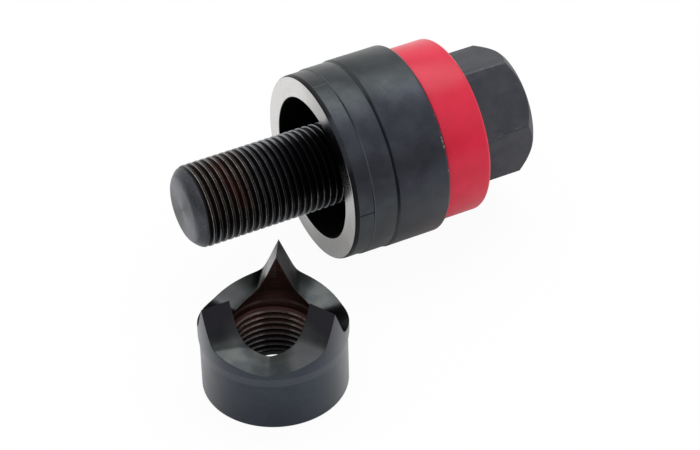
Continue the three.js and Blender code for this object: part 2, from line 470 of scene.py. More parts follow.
class Graph:
    """A node tree, whose nodes all come from one method."""

    def __init__(self, tree: bpy.types.NodeTree) -> None:
        """Takes the tree that nodes are added to."""
        self.tree = tree

    def node(self, kind: str, settings: dict[str, Any], inputs: dict[Any, Any]) -> bpy.types.Node:
        """Adds a node.

        Args:
            kind: Blender's name for the node's type.
            settings: The node's own settings, which are set first.
            inputs: Values or links of its sockets, by name or number.

        Returns:
            The node.
        """
        node = self.tree.nodes.new(kind)
        for setting, value in settings.items():
            setattr(node, setting, value)
        for key, value in inputs.items():
            socket = node.inputs[key]
            if isinstance(value, Signal):
                value = value.socket
            if isinstance(value, bpy.types.NodeSocket):
                self.tree.links.new(value, socket)
            elif socket.type == "RGBA":
                socket.default_value = (*value, 1)
            else:
                socket.default_value = value
        return node

    def signal(self, kind: str, settings: dict[str, Any], inputs: dict[Any, Any]) -> Signal:
        """Adds a node and returns its first output as a signal."""
        return Signal(self, self.node(kind, settings, inputs).outputs[0])

    def place(self, centre: Vector | Place) -> Any:
        """Object coordinates counted from a centre, in millimetres, as a vector socket."""
        coordinates = self.node("ShaderNodeTexCoord", {}, {}).outputs["Object"]
        inputs = {0: coordinates, 1: centre}
        moved = self.node("ShaderNodeVectorMath", {"operation": "SUBTRACT"}, inputs).outputs[0]
        inputs = {"Vector": moved, "Scale": (1 / MM, 1 / MM, 1 / MM)}
        return self.node("ShaderNodeMapping", {"vector_type": "POINT"}, inputs).outputs[0]

    def split(self, vector: Any) -> tuple[Signal, Signal, Signal]:
        """The three parts of a vector socket."""
        outputs = self.node("ShaderNodeSeparateXYZ", {}, {0: vector}).outputs
        return Signal(self, outputs[0]), Signal(self, outputs[1]), Signal(self, outputs[2])

    def noise(self, place: Any, scale: float, detail: float = 3, roughness: float = 0.6) -> Signal:
        """Soft noise.

        Args:
            place: A vector socket, or three parts of a vector that are signals or numbers.
            scale: One over the size of its grain.
            detail: How many finer grains lie over it.
            roughness: How strong the finer grains are.

        Returns:
            The noise, between 0 and 1.
        """
        if isinstance(place, tuple):
            place = self.node("ShaderNodeCombineXYZ", {}, dict(enumerate(place))).outputs[0]
        inputs = {"Vector": place, "Scale": scale, "Detail": detail, "Roughness": roughness}
        return self.signal("ShaderNodeTexNoise", {}, inputs)

    def mix(self, share: Signal | float, below: Any, above: Any) -> Any:
        """A colour between two colours, each a colour or a socket."""
        inputs = {0: share, 6: below, 7: above}
        return self.node("ShaderNodeMix", {"data_type": "RGBA"}, inputs).outputs[2]

    def coats(self, colour: Any, *coats: tuple[Signal | float, Any]) -> Any:
        """Covers a colour with coats, one after the other.

        Args:
            colour: The lowest colour.
            *coats: For each coat, how far it hides what is below, and its colour.

        Returns:
            The colour that is seen.
        """
        for share, coat in coats:
            colour = self.mix(share, colour, coat)
        return colour


class Finish(Graph):
    """A material on a Principled shader."""

    def __init__(self, name: str, **fixed: float) -> None:
        """Starts a material.

        Args:
            name: The material's name.
            **fixed: Values of the shader's sockets that are the same all over, with an
                underscore for each space.
        """
        self.material = bpy.data.materials.new(name)
        self.material.use_nodes = True
        super().__init__(self.material.node_tree)
        self.shader = self.tree.nodes["Principled BSDF"]
        for socket, value in fixed.items():
            self.shader.inputs[socket.replace("_", " ")].default_value = value

    def made(
        self, colour: Any, roughness: Signal, height: Signal, depth: float, **others: Signal
    ) -> Material:
        """Feeds the shader.

        Args:
            colour: The base colour.
            roughness: The roughness.
            height: Height of the surface's relief, as a share of its depth.
            depth: The relief's depth.
            **others: Signals for other sockets, with an underscore for each space.

        Returns:
            The material.
        """
        inputs = {"Height": height, "Strength": 1.0, "Distance": depth * MM}
        bump = self.node("ShaderNodeBump", {}, inputs).outputs[0]
        feeds = {"Base_Color": colour, "Roughness": roughness.socket, "Normal": bump}
        feeds.update({socket: signal.socket for socket, signal in others.items()})
        for socket, source in feeds.items():
            self.tree.links.new(source, self.shader.inputs[socket.replace("_", " ")])
        return self.material


class TurnedPlace(NamedTuple):
    """Where a point of a turned piece lies.

    Attributes:
        vector: The place counted from the line's zero mark.
        along: Distance along the line.
        radius: Distance out from the line.
        angle: Angle round the line, in radians, from half a turn back to half a turn on.
    """

    vector: Any
    along: Signal
    radius: Signal
    angle: Signal

    @classmethod
    def of(cls, graph: Graph, lathe: Lathe) -> TurnedPlace:
        """Reads the place from Object coordinates."""
        vector = graph.place(lathe.zero)
        x, y, z = graph.split(vector)
        along, first, second = (x, y, z) if lathe.lies else (z, x, y)
        return cls(vector, along, first.length_with(second), second.through("ARCTAN2", first))

    def tooling(self, fine: float, scale: float, detail: float = 3) -> Signal:
        """Noise that is drawn out round the piece, as the marks of a turning tool are."""
        place = (self.along * fine, self.radius * fine, self.angle)
        return self.along.graph.noise(place, scale, detail)


@dataclass(frozen=True)
class BlackOxide:
    """Blackened steel: a thin satin oxide skin, faintly mottled.

    Attributes:
        tone: Colour of the skin.
        warm_tone: Colour of the skin where it tends to brown.
        roughness: Roughness of the skin.
        mottle: Share by which blotches darken it.
        speckle: Share by which its grain darkens it.
    """

    tone: Colour = (0.051, 0.055, 0.067)
    warm_tone: Colour = (0.054, 0.060, 0.064)
    roughness: float = 0.36
    mottle: float = 0.18
    speckle: float = 0.14

    def colour(self, graph: Graph, vector: Any, warm: Signal | float = 0.0) -> Any:
        """The skin's colour, with clouds of the warm tone, blotches and a grain.

        Args:
            graph: The material's nodes.
            vector: The place on the piece.
            warm: Where the skin tends to the warm tone.

        Returns:
            The colour's socket.
        """
        clouds = graph.noise(vector, 0.12, 4)
        blotches = graph.noise(vector, 0.22, 3, 0.5)
        grain = graph.noise(vector, 2.2)
        tone = graph.mix((warm * 0.8 + clouds - 0.5).rises(0.0, 0.6), self.tone, self.warm_tone)
        shade = 1 - self.mottle * blotches.falls(0.36, 0.64) - self.speckle * grain.falls(0.2, 0.8)
        inputs = {0: tone, "Scale": shade}
        return graph.node("ShaderNodeVectorMath", {"operation": "SCALE"}, inputs).outputs[0]

    def gloss(self, graph: Graph, vector: Any) -> Signal:
        """The skin's roughness, with faint patches of wear."""
        return self.roughness + 0.14 * (graph.noise(vector, 0.35, 4) - 0.5)


# The lying set: die, draw stud and bearing


@dataclass(frozen=True)
class Die:
    """The die: a cup with a ground cutting face.

    Places are counted from the cutting face.
    """

    lathe: Lathe
    skin: BlackOxide
    bore: float = 16.65
    radius: float = 22.07
    length: float = 23.7
    floor: float = 8
    guide: float = 10.0
    guide_edge: float = 0.5
    floor_fillet: float = 0.8
    floor_bevel: float = 0.25
    rim_radius: float = 21.58
    rim_end: float = 4.7
    shoulder_radius: float = 21.82
    shoulder_end: float = 10.4
    groove_end: float = 10.95
    groove_radius: float = 21.6
    relief: float = 0.08
    mouth_edge: float = 0.12
    edge_fall: float = 0.36
    edge_length: float = 1.05
    back_edge: float = 0.7
    mark_start: float = 1.25
    mark_end: float = 4.9
    mark_width: float = 0.3
    mark_depth: float = 0.05
    mark_turn: float = -1.5
    steps: int = 288

    def section(self) -> Profile:
        """The cup's section, round from the bore's mouth."""
        relief, soft, fillet = self.relief, self.guide_edge, self.floor_fillet
        front = self.rim_radius - self.edge_fall
        back = self.radius - self.back_edge
        floor = self.length - self.floor
        return [
            (self.bore + self.mouth_edge, 0),
            *arc((front, self.edge_length), (self.edge_fall, self.edge_length), -90, 90, 8),
            (self.rim_radius, self.rim_end - relief),
            (self.rim_radius + relief, self.rim_end),
            (self.shoulder_radius - relief / 2, self.rim_end + 2 * relief),
            (self.shoulder_radius, self.rim_end + 4 * relief),
            (self.shoulder_radius, self.shoulder_end - 2 * relief),
            (self.shoulder_radius - relief / 2, self.shoulder_end - relief / 2),
            (self.groove_radius + relief / 2, self.shoulder_end + 2 * relief),
            (self.groove_radius, self.shoulder_end + 3 * relief),
            (self.groove_radius, self.groove_end - 3 * relief),
            (self.groove_radius + relief, self.groove_end - 2 * relief),
            (self.radius - relief, self.groove_end + relief),
            (self.radius, self.groove_end + 3 * relief),
            *quarter_round((back, self.length - self.back_edge), self.back_edge, 0, 6),
            (self.guide + soft, self.length),
            (self.guide, self.length - soft),
            (self.guide, floor + soft),
            (self.guide + soft, floor),
            (self.bore - fillet, floor),
            (self.bore - self.floor_bevel, floor - self.floor_bevel),
            (self.bore, floor - fillet),
            (self.bore, self.mouth_edge),
        ]

    def build(self) -> Piece:
        """Turns the cup, scribes its four centre marks and dresses it."""
        cup = self.lathe.ring("die_cup", self.section(), self.steps)
        for quarter in range(4):
            join(cup, self.mark(math.radians(self.mark_turn + 90 * quarter)), Join.CUT)
        return dress(cup, self.finish())

    def mark(self, angle: float) -> Piece:
        """A cutter for one centre mark, at an angle round the rim."""
        middle = (self.mark_start + self.mark_end) / 2
        outward = Vector((0, math.cos(angle), math.sin(angle)))
        cutter = added(
            "mark_cutter",
            bpy.ops.mesh.primitive_cube_add,
            size=1,
            location=self.lathe.zero + (self.lathe.along * middle + outward * self.rim_radius) * MM,
            rotation=(angle, 0, 0),
            scale=Vector((self.mark_end - self.mark_start, 2 * self.mark_depth, self.mark_width)) * MM,
        )
        settle(cutter)
        return cutter

    def finish(self) -> Material:
        """Black oxide outside with painted light and shade on its sides, a bright ground cutting face
        with painted shade and reflection, and a hollow painted near black as shade.
        """
        graph = Finish("die_black_oxide", Metallic=1.0)
        where = TurnedPlace.of(graph, self.lathe)
        vector, along, radius, angle = where
        degrees = angle * math.degrees(1)
        _, y, z = graph.split(vector)
        strokes = graph.noise((0.0, y * 3.2, z * 0.16), 1.0, 4, 0.7)
        rings = graph.noise((0.0, radius * 5, angle * 2), 0.8, 4, 0.7)
        specks = graph.noise(vector, 0.9, 4, 0.7)

        # The places of the cup
        outside = radius.rises(self.bore + 0.5, self.bore + 1)
        face = along.falls(0.02, 0.06) * radius.rises(self.bore - 0.1, self.bore + 0.1)
        hollow = radius.falls(self.bore - 0.02, self.bore + 0.08) * along.rises(0.1, 0.4)
        edge = outside * along.within(0.05, self.edge_length, 0.06)
        step = outside * along.within(self.rim_end + 0.05, self.rim_end + 0.2, 0.12)
        scribed = outside * along.within(self.mark_start, self.mark_end, 0.1)
        scribed = scribed * radius.falls(self.rim_radius - 0.03, self.rim_radius - 0.01)
        groove = outside * along.within(self.shoulder_end + 0.1, self.groove_end, 0.1)
        groove = groove * radius.falls(self.groove_radius + 0.1, self.radius - 0.1)
        back = along.within(self.length - 0.55, self.length - 0.25, 0.12)
        back = back * radius.rises(self.radius - 0.37, self.radius - 0.07)

        # The sides of the cup
        # Painted light and shade: the scribed marks are painted lighter high on the cup and darker
        # lower down.
        painted_light_above = z.rises(6, 17)
        # Painted light: the lower front of the cup is painted lighter, as light reflected from the
        # floor.
        below = (y * -0.82 - z * 0.57).rises(13.5, 21.5)
        warm = 1 - degrees.within(128, 165, 35)
        # Painted shade and painted light on the groove: darker from about 115 to 160 degrees round the
        # cup, lighter from about 58 to 100 degrees and on the lower front.
        groove_painted_shade = degrees.within(115, 160, 20)
        groove_painted_light = degrees.within(58, 100, 14).most(below)
        lit_step = degrees.falls(95, 110).most(degrees.rises(120, 142))
        # Painted shade and painted reflection: the cutting face is painted dark from about 70 to 157
        # degrees round it, as the stud's reflection and shadow, and faintly from about -145 to -100
        # degrees.
        painted_face_shade = (0.45 * degrees.rises(70, 112)).most(degrees.rises(106, 118))
        painted_face_shade = (painted_face_shade * degrees.falls(140, 157)).most(degrees.within(-145, -100, 15) * 0.16)
        chipped = back * (specks + 0.1 * degrees.within(145, 151, 3)).rises(0.6, 0.7)

        streaks = (strokes * 0.6 + rings * 0.4).rises(0.3, 0.7)
        bright = graph.mix(streaks, (0.56, 0.55, 0.54), (0.74, 0.73, 0.72))
        # The colour of the face's painted shade, darker towards the bore.
        face_shade_tone = graph.mix(radius.rises(16.8, 20.3), (0.026, 0.027, 0.030), (0.062, 0.067, 0.079))
        colour = graph.coats(
            self.skin.colour(graph, vector, warm),
            # The lower front, painted lighter as painted light.
            (below * 0.32 * outside, (0.10, 0.105, 0.117)),
            # Painted shade: the hollow is painted near black, as the shade inside the cup.
            (hollow, (0.003, 0.003, 0.003)),
            (step * 0.6, graph.mix(lit_step, (0.02, 0.02, 0.022), (0.11, 0.12, 0.125))),
            # The groove, with its painted shade and painted light.
            (
                groove * (0.06 + 0.5 * groove_painted_shade + 0.4 * groove_painted_light),
                graph.mix(groove_painted_light, (0.006, 0.006, 0.007), (0.075, 0.08, 0.082)),
            ),
            (edge * (0.85 - 0.5 * degrees.within(118, 145, 6)), (0.008, 0.008, 0.009)),
            # The scribed marks, painted lighter high up and darker lower down.
            (scribed, graph.mix(painted_light_above, (0.022, 0.022, 0.024), (0.12, 0.13, 0.13))),
            # The ground face, painted dark in places as painted shade and reflection.
            (face, graph.mix(painted_face_shade, bright, face_shade_tone)),
            (chipped, (0.34, 0.33, 0.3)),
        )
        gloss = self.skin.gloss(graph, vector) + 0.3 * hollow + 0.1 * edge
        gloss = gloss * (1 - face) + (0.2 + 0.1 * rings) * face
        lines = where.tooling(9, 0.7) * (1 - face) + (strokes + rings) * face * 0.35
        return graph.made(colour, gloss, lines, 0.006)


@dataclass(frozen=True)
class DrawStud:
    """The draw stud: thread, shank, collar and hexagon head in one piece.

    Places are counted from the die's cutting face.
    """

    lathe: Lathe
    skin: BlackOxide
    thread: Thread = Thread(
        pitch=1.5875,
        crest_radius=9.52,
        root_radius=8.7,
        crest_flat=0.46,
        crest_round=0.06,
        seam_width=0.16,
        seam_depth=0.04,
    )
    rod_start: float = -32.9
    end: float = -31.9
    end_radius: float = 7.25
    end_chamfer: float = 2.2
    end_round: float = 2.8
    thread_end: float = 8.0
    runout: float = 3.0
    shank_radius: float = 9.5
    collar_start: float = 33.78
    collar_radius: float = 14.6
    collar_edge: float = 0.25
    head_start: float = 35.36
    head_end: float = 50.13
    across_flats: float = 26.98
    head_chamfer: float = 2.5
    head_round: float = 0.2
    head_turn: float = 43.2
    corner_edge: float = 0.18
    overlap: float = 0.02
    steps: int = 144

    @property
    def corner(self) -> float:
        """Distance from the line to the hexagon's corners."""
        return self.across_flats / math.sqrt(3)

    def build(self) -> Piece:
        """Cuts the thread, adds the shank and the head, and dresses the stud."""
        stud = self.thread.rod("draw_stud_forging", self.lathe, self.rod_start, self.thread_end)
        join(stud, self.end_form(), Join.KEEP_COMMON)
        join(stud, self.shank(), Join.ADD)
        join(stud, self.head(), Join.ADD)
        return dress(stud, self.finish())

    def end_form(self) -> Piece:
        """The envelope that trims the thread to a rounded, chamfered end."""
        outer = self.thread.crest_radius + 0.01
        slope = math.degrees(math.atan2(self.end_chamfer, outer - self.end_radius))
        rounded = (self.end_round, self.end_round)
        inward = self.end_round * math.tan(math.radians(slope / 2))
        onward = self.end_round * math.tan(math.radians((90 - slope) / 2))
        first = (self.end_radius - inward, self.end + self.end_round)
        second = (outer - self.end_round, self.end + self.end_chamfer + onward)
        form = [
            (0, self.end),
            *arc(first, rounded, -90, slope, 7),
            *arc(second, rounded, slope - 90, 90 - slope, 7),
            (outer, self.thread_end + 1),
            (0, self.thread_end + 1),
        ]
        return self.lathe.turn("end_form", form, self.steps)

    def shank(self) -> Piece:
        """The plain shank behind the thread's runout, and the collar."""
        start, edge = self.thread_end - self.runout, self.collar_edge
        form = [
            (0, start),
            (self.thread.root_radius - 0.2, start),
            (self.shank_radius, self.thread_end - 0.3),
            (self.shank_radius, self.collar_start),
            (self.collar_radius - edge, self.collar_start),
            (self.collar_radius, self.collar_start + edge),
            (self.collar_radius, self.head_start + self.overlap),
            (self.shank_radius, self.head_start + self.overlap),
            (self.shank_radius, self.head_start + 3),
            (0, self.head_start + 3),
        ]
        return self.lathe.turn("shank", form, self.steps)

    def head(self) -> Piece:
        """The hexagon head: a bevelled prism, turned off at 45 degrees at its end."""
        centre = self.lathe.at(0, (self.head_start + self.head_end) / 2)
        head = added(
            "head",
            bpy.ops.mesh.primitive_cylinder_add,
            vertices=6,
            radius=self.corner * MM,
            depth=(self.head_end - self.head_start) * MM,
            location=centre,
            rotation=LAID_ALONG_X,
        )
        settle(head)
        with editing(head):
            bpy.ops.transform.rotate(
                value=-math.radians(self.head_turn),
                orient_axis="X",
                orient_type="GLOBAL",
                center_override=centre,
            )
            select_along(head, self.lathe.along)
            bpy.ops.mesh.bevel(offset=self.corner_edge * MM, segments=1, affect="EDGES")
        soft = self.head_round
        form = [
            (0, self.head_start - 1),
            (self.corner + 1, self.head_start - 1),
            (self.corner + 1, self.head_end - self.head_chamfer - 1),
            (self.corner - self.head_chamfer + soft, self.head_end - soft),
            (self.corner - self.head_chamfer - soft, self.head_end),
            (0, self.head_end),
        ]
        join(head, self.lathe.turn("head_form", form, self.steps), Join.KEEP_COMMON)
        return head

    def finish(self) -> Material:
        """Black oxide with brown and rust in the thread, crest edges with wear and painted glints,
        painted shade on the thread near the die, and painted highlights on the turned end.
        """
        graph = Finish("stud_black_oxide", Metallic=1.0)
        where = TurnedPlace.of(graph, self.lathe)
        vector, along, radius, angle = where
        degrees = angle * math.degrees(1)
        _, y, z = graph.split(vector)
        grime = graph.noise((along * 0.8, radius, angle * 2), 0.9, 4, 0.65)
        chips = graph.noise(vector, 1.6, 4, 0.7)

        # The thread
        threaded = along.within(self.end + 3.0, self.thread_end, 0.8)
        past_crest = self.thread.past_crest(where, self.rod_start)
        from_crest = past_crest.through("ABSOLUTE")
        edge = self.thread.crest_flat / 2
        # Crest-edge lines: bare metal from wear, partly painted as glints, with the edge before each
        # crest painted brighter than the one after.
        line = from_crest.within(edge, edge + 0.05, 0.04)
        line = line * (0.6 + 0.4 * past_crest.falls(-0.05, 0.05))
        root = from_crest.rises(edge + 0.1, edge + 0.2)
        slanted = along - 2.2 * angle
        rust = slanted.within(-27.8, -26.2, 1.2) * degrees.within(90, 155, 14)
        rust = rust * grime.rises(0.3, 0.6)
        brown = along.falls(-19, -15) * degrees.within(75, 165, 25)
        # Painted shade: near the die, the thread's front from about 100 to 168 degrees round it is
        # painted near black, as the die's shadow and dark reflection, with dimmer crest lines.
        painted_shade_band = along.rises(-20, -5) * degrees.within(100, 168, 18)
        shaded_crest_line = line * (1 - 0.5 * along.rises(-14, -6))
        # Painted highlight: near the die, crests on the stud's back and underside are painted light,
        # as glints along its outline.
        painted_rim_glints = along.rises(-20, -8) * y.rises(-0.3, 3.3).most(z.falls(-6.0, -2.6))
        # The tone of the crest-edge lines: wear, brown and rust, painted light as glints.
        wear_and_glint = graph.coats(
            (0.28, 0.28, 0.29), (brown, (0.38, 0.34, 0.295)), (rust * 0.6, (0.16, 0.075, 0.065))
        )
        crest = graph.coats(
            (0.018, 0.018, 0.020),
            (rust * 0.6, (0.05, 0.018, 0.016)),
            (line * chips.rises(0.2, 0.55), wear_and_glint),
            (painted_rim_glints * 0.7, (0.24, 0.25, 0.27)),
        )
        # The thread's roots, darker than its crests, with brown and rust.
        root_tone = graph.coats(
            (0.009, 0.009, 0.011), (brown, (0.017, 0.010, 0.008)), (rust, (0.050, 0.014, 0.012))
        )
        shaded_thread_tone = graph.mix(shaded_crest_line, (0.003, 0.003, 0.004), (0.045, 0.043, 0.048))
        # The thread's tone, painted near black where it lies in painted shade.
        thread_tone = graph.mix(painted_shade_band, graph.mix(root, crest, root_tone), shaded_thread_tone)

        # The turned end
        chamfer = along.falls(self.end + 3, self.end + 4)
        flat = along.falls(self.end + 0.1, self.end + 0.6)
        streaks = graph.noise((angle * 9, radius * 0.4, 0.0), 1.0, 4)
        # Painted highlight: the turned end is painted with two lighter lobes across its face, as the
        # reflection of its turning marks.
        painted_end_highlights = (0.5 + 0.5 * (2 * angle - 1.64).through("COSINE")) * 0.8 + (streaks - 0.5) * 0.5
        end_highlight_tone = graph.mix(painted_end_highlights, (0.040, 0.043, 0.048), (0.165, 0.176, 0.196))
        nicks = graph.noise((along * 1.2, radius * 1.2, angle * 9), 1.2, 4, 0.7).rises(0.52, 0.68)

        # The head
        headed = along.rises(self.head_start - 0.1, self.head_start)
        tone_patches = graph.noise(vector, 0.2).rises(0.4, 0.65)
        scuffs = graph.noise(vector, 1.4, 4, 0.7).rises(0.45, 0.7)
        tip = self.corner - self.corner_edge
        on_corner = radius.rises(tip - 0.12, tip - 0.02) * scuffs

        colour = graph.coats(
            self.skin.colour(graph, vector),
            (chamfer * 0.8, (0.064, 0.068, 0.077)),
            ((1 - headed) * nicks * 0.35, (0.14, 0.15, 0.165)),
            (threaded, thread_tone),
            (flat, end_highlight_tone),
            (headed * (0.4 + 0.4 * tone_patches), (0.070, 0.071, 0.079)),
            (on_corner * 0.35, (0.16, 0.16, 0.16)),
        )
        gloss = self.skin.gloss(graph, vector) + threaded * (0.35 * root - 0.1) + 0.12 * headed
        return graph.made(colour, gloss, where.tooling(5, 0.9) + chips * threaded, 0.008)


@dataclass(frozen=True)
class ThrustBearing:
    """The thrust ball bearing and its red cover, between the die's back and the stud's collar.

    Places are counted from the die's cutting face.
    """

    lathe: Lathe
    front: float = 24.06
    washer: float = 3.0
    washer_bore: float = 10.0
    washer_radius: float = 17.49
    washer_round: float = 0.35
    washer_edge: float = 0.1
    spacing: float = 3.4
    ball: float = 2.5
    ball_cuts: int = 9
    ball_pitch: float = 13.75
    raceway: float = 2.75
    raceway_steps: int = 12
    ball_count: int = 14
    cage_inner: float = 10.42
    cage_outer: float = 17.08
    cage_half: float = 1.19
    cage_edge: float = 0.15
    pocket_sides: int = 48
    cover_radius: float = 20.39
    cover_bore: float = 17.8
    cover_back: float = 35.04
    cover_front_round: float = 0.45
    cover_back_round: float = 0.9
    cover_steps: int = 288
    lip_front: float = 33.76
    lip_radius: float = 15.1
    steps: int = 192

    def washer_section(self) -> Profile:
        """A washer's section, its raceway at the side away from zero."""
        half_angle = math.acos(self.spacing / 2 / self.raceway)
        groove = []
        for step in range(self.raceway_steps + 1):
            angle = half_angle * (1 - 2 * step / self.raceway_steps)
            depth = self.raceway * math.cos(angle) - self.spacing / 2
            groove.append((self.ball_pitch + self.raceway * math.sin(angle), self.washer - depth))
        soft, edge = self.washer_round, self.washer_edge
        bore, rim = self.washer_bore, self.washer_radius
        return [
            (bore + soft, 0),
            *quarter_round((rim - soft, soft), soft, -90, 4),
            (rim, self.washer - edge),
            (rim - edge, self.washer),
            *groove,
            (bore + edge, self.washer),
            (bore, self.washer - edge),
            *quarter_round((bore + soft, soft), soft, 180, 4)[:-1],
        ]

    def build_washers(self) -> list[Piece]:
        """The washer on the die's back, and facing it the washer under the stud's collar."""
        polished = self.polished()
        far = self.front + 2 * self.washer + self.spacing
        rings = []
        for name, zero, facing in (("housing", self.front, 1), ("shaft", far, -1)):
            section = [(radius, zero + facing * place) for radius, place in self.washer_section()]
            ring = self.lathe.ring(f"{name}_washer_ring", section, self.steps)
            rings.append(dress(ring, polished))
        return rings

    def ball_centres(self) -> list[Vector]:
        """The balls' centres in the frame, round the pitch circle."""
        middle = self.lathe.at(0, self.front + self.washer + self.spacing / 2)
        angles = [FULL_TURN * number / self.ball_count for number in range(self.ball_count)]
        across = [Vector((0, -math.sin(angle), math.cos(angle))) for angle in angles]
        return [middle + outward * self.ball_pitch * MM for outward in across]

    def build_balls(self) -> list[Piece]:
        """The balls: one rounded cube, copied to every place."""
        radius = self.ball * MM
        cube = bpy.ops.mesh.primitive_cube_add
        first = added("steel_ball_01", cube, size=2 * radius, location=(0, 0, 0))
        with editing(first):
            bpy.ops.mesh.subdivide(number_cuts=self.ball_cuts)
        modify(
            first,
            "CAST",
            cast_type="SPHERE",
            factor=1,
            radius=radius,
            use_radius_as_size=True,
            size=radius,
        )
        dress(first, self.polished(), sharp_above=60)
        balls = [first]
        for number in range(2, self.ball_count + 1):
            ball = first.copy()
            ball.data = first.data.copy()
            ball.name = ball.data.name = f"steel_ball_{number:02d}"
            bpy.context.scene.collection.objects.link(ball)
            balls.append(ball)
        for ball, centre in zip(balls, self.ball_centres(), strict=True):
            ball.location = centre
            settle(ball)
        return balls

    def build_cage(self) -> Piece:
        """The brass cage, bored once for each ball."""
        middle = self.front + self.washer + self.spacing / 2
        edge = self.cage_edge
        low, high = middle - self.cage_half, middle + self.cage_half
        section = [
            (self.cage_inner + edge, low),
            (self.cage_outer - edge, low),
            (self.cage_outer, low + edge),
            (self.cage_outer, high - edge),
            (self.cage_outer - edge, high),
            (self.cage_inner + edge, high),
            (self.cage_inner, high - edge),
            (self.cage_inner, low + edge),
        ]
        cage = self.lathe.ring("ball_cage_ring", section, self.steps)
        for centre in self.ball_centres():
            pocket = added(
                "pocket",
                bpy.ops.mesh.primitive_cylinder_add,
                vertices=self.pocket_sides,
                radius=self.raceway * MM,
                depth=4 * self.cage_half * MM,
                location=centre,
                rotation=LAID_ALONG_X,
            )
            settle(pocket)
            join(cage, pocket, Join.CUT)
        return dress(cage, self.brass())

    def build_cover(self) -> Piece:
        """The red cover: a sleeve with rounded edges and an inward lip."""
        front, back = self.cover_front_round, self.cover_back_round
        mouth, lip_back, lip_front, inside = 0.2, 0.15, 0.1, 0.3
        section = [
            (self.cover_bore + mouth, self.front),
            *quarter_round((self.cover_radius - front, self.front + front), front, -90, 5),
            *quarter_round((self.cover_radius - back, self.cover_back - back), back, 0, 7),
            (self.lip_radius + lip_back, self.cover_back),
            (self.lip_radius, self.cover_back - lip_back),
            (self.lip_radius, self.lip_front + lip_front),
            (self.lip_radius + lip_front, self.lip_front),
            (self.cover_bore - inside, self.lip_front),
            (self.cover_bore, self.lip_front - inside),
            (self.cover_bore, self.front + mouth),
        ]
        cover = self.lathe.ring("bearing_cover_sleeve", section, self.cover_steps)
        return dress(cover, self.red())

    def red(self) -> Material:
        """Satin crimson coating with a faint grain."""
        graph = Finish("crimson_coating", Metallic=0.0, Specular_IOR_Level=0.3)
        where = TurnedPlace.of(graph, self.lathe)
        grain = graph.noise(where.vector, 5)
        clouds = graph.noise(where.vector, 0.15, 3, 0.5)
        colour = graph.mix(clouds.rises(0.3, 0.7), (0.60, 0.010, 0.038), (0.67, 0.013, 0.051))
        lines = where.tooling(7, 0.8) * 0.5 + grain * 0.5
        return graph.made(colour, 0.3 + 0.08 * (grain - 0.5), lines, 0.004)

    def polished(self) -> Material:
        """Ground bearing steel."""
        graph = Finish("ground_bearing_steel", Metallic=1.0)
        lines = TurnedPlace.of(graph, self.lathe).tooling(8, 1.2, 4)
        colour = graph.mix(lines, (0.52, 0.53, 0.55), (0.66, 0.67, 0.68))
        return graph.made(colour, 0.14 + 0.12 * lines, lines, 0.003)

    def brass(self) -> Material:
        """Machined brass."""
        graph = Finish("cage_brass", Metallic=1.0)
        lines = TurnedPlace.of(graph, self.lathe).tooling(8, 1.0, 4)
        colour = graph.mix(lines, (0.55, 0.38, 0.14), (0.70, 0.50, 0.22))
        return graph.made(colour, 0.25 + 0.15 * lines, lines, 0.004)


# The punch


